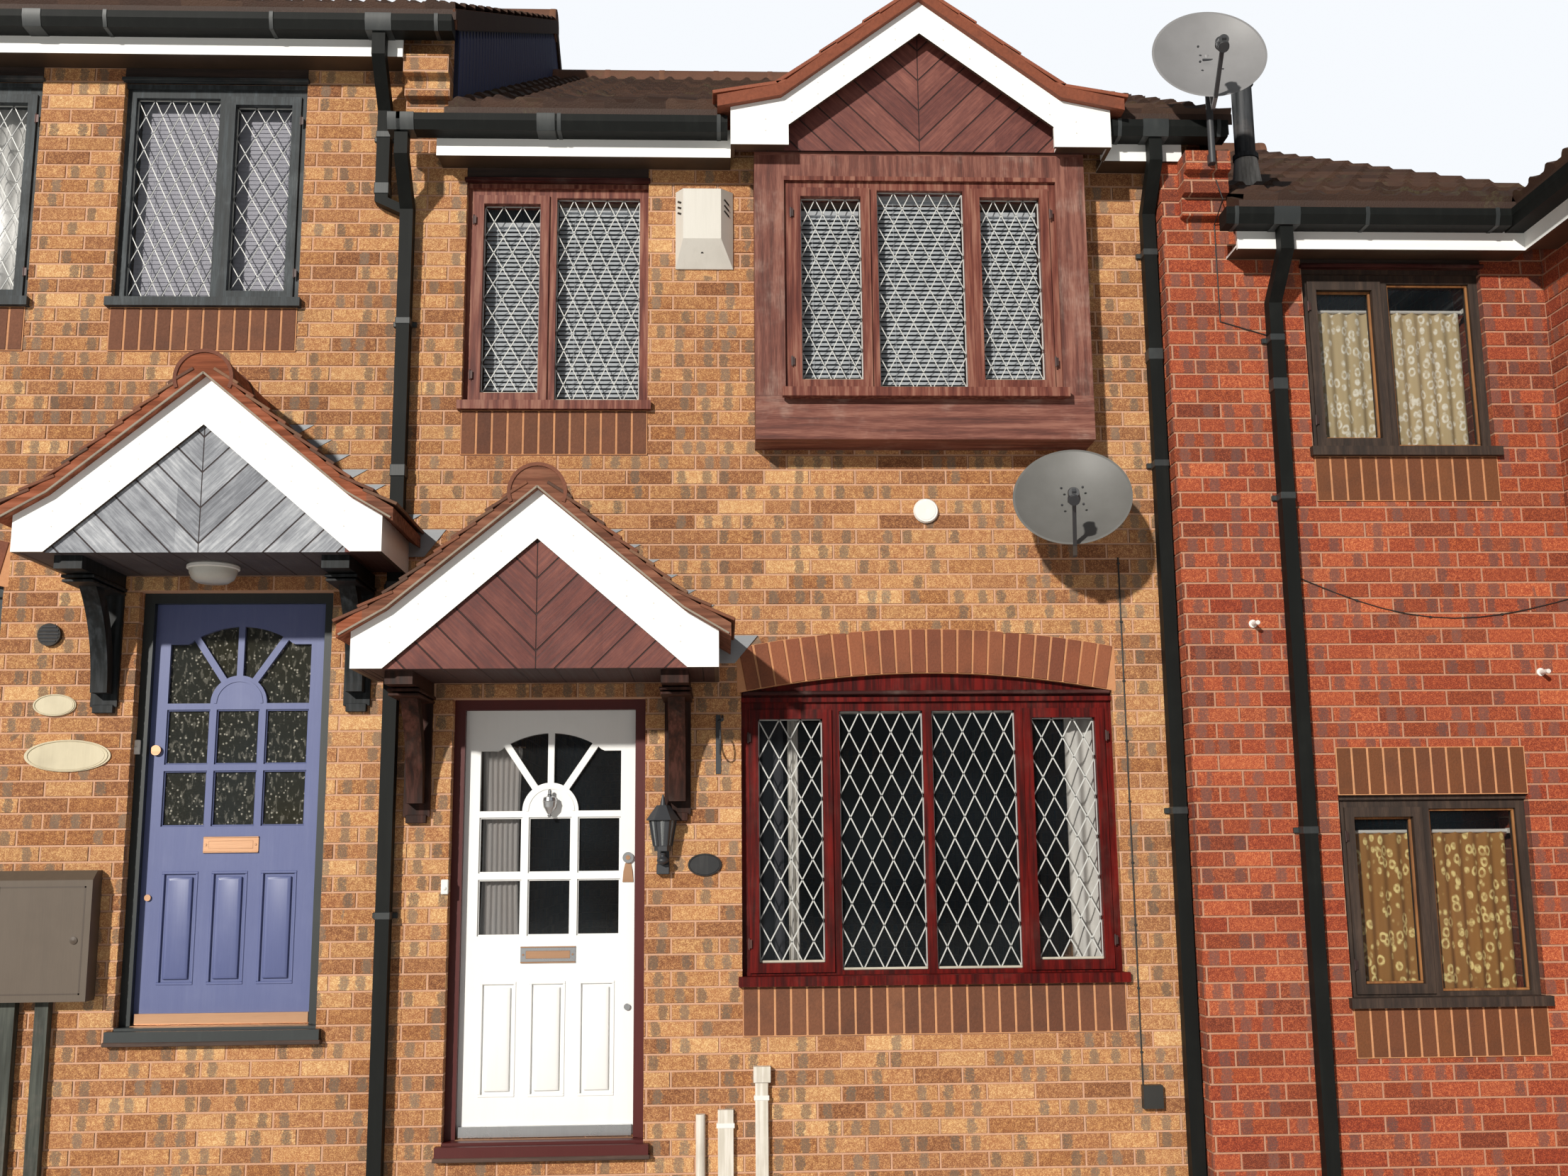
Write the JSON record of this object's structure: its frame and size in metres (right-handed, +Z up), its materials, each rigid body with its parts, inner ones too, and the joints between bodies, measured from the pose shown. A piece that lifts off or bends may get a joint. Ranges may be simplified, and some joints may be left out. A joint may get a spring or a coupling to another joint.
{
  "type": "terraced house row",
  "caption": "Stepped row of brick terraced houses with front door canopies, a leaded oriel window under a small gable, tiled roofs and hinged front doors",
  "frame": {"origin": "on the underside of the front wall, at the centre line of the party wall between the two tan houses and the middle of the wall's thickness", "axes": "X runs along the row to the right as seen from the street, Y runs from the street into the houses, Z is up"},
  "size_m": [9.9075, 10.082, 8.8024],
  "materials": {
    "tan_brick": "buff multi-coloured brick with reddish mortar",
    "red_brick": "red wire-cut brick with pale mortar",
    "arch_brick": "dark red brick on end",
    "concrete": "screed",
    "roof_tile": "weathered brown rolled tiles with moss",
    "ridge_tile": "half-round ridge tiles in mortar",
    "small_tile": "plain tiles",
    "dark_cladding": "dark panels",
    "brown_wood": "dark brown stained",
    "brown_boarding": "stained boarding with V joints",
    "white_board": "white gloss paint",
    "dark_frame": "dark grey paint",
    "maroon_frame": "dark red-brown stain",
    "white_joinery": "white",
    "window_glass": "clear",
    "violet_paint": "blue-violet gloss paint",
    "white_paint": "white gloss paint",
    "brass": "aged brass and copper",
    "black_plastic": "weathered black",
    "white_plastic": "white",
    "dish_grey": "grey powder coat",
    "black_metal": "black gloss",
    "meter_plastic": "pale brown moulded",
    "flue_metal": "grey",
    "pipe_plastic": "cream and grey",
    "black_cable": "black sheath"
  },
  "bodies": {
    "root": {"left_front_lower": "tan_brick", "left_front_upper": "tan_brick", "door_pier": "tan_brick", "middle_front_lower": "tan_brick", "middle_front_upper": "tan_brick", "end_walls": "tan_brick", "party_walls": "tan_brick", "rear_wall": "tan_brick", "red_front_wall": "red_brick", "window_arches": "arch_brick", "floors": "concrete", "left_roof": "roof_tile", "middle_roof": "roof_tile", "red_roof": "roof_tile", "ridge_tiles": "ridge_tile", "gable_roof": "small_tile", "canopy_roofs": "small_tile", "party_wall_cladding": "dark_cladding", "oriel_bay": "brown_wood", "canopy_brackets": "brown_wood", "gable_boarding": "brown_boarding", "canopy_boarding": "brown_boarding", "gable_bargeboards": "white_board", "canopy_boards": "white_board", "eaves_boards": "white_board", "left_windows": "dark_frame", "left_door_frame": "dark_frame", "middle_windows": "maroon_frame", "middle_door_frame": "maroon_frame", "red_windows": "maroon_frame", "rear_joinery": "white_joinery", "window_glass": "window_glass", "gutters": "black_plastic", "downpipes": "black_plastic", "alarm_box": "white_plastic", "wall_vents": "white_plastic", "satellite_dishes": "dish_grey", "wall_lantern": "black_metal", "meter_box": "meter_plastic", "roof_flue": "flue_metal", "service_pipes": "pipe_plastic", "dish_cable": "black_cable"},
    "left_door": {"left_door": "violet_paint", "left_door_glass": "window_glass", "left_door_furniture": "brass"},
    "middle_door": {"middle_door": "white_paint", "middle_door_glass": "window_glass", "middle_door_furniture": "brass"}
  },
  "joints": [
    {"name": "left_door_hinge", "type": "hinge", "parent": "root", "child": "left_door", "pos_m": [-0.42613, 0.004, 1.275], "axis": [0, 0, -1], "range_deg": [0, 90]},
    {"name": "middle_door_hinge", "type": "hinge", "parent": "root", "child": "middle_door", "pos_m": [0.2362, 0.004, 0.75], "axis": [0, 0, 1], "range_deg": [0, 90]}
  ]
}
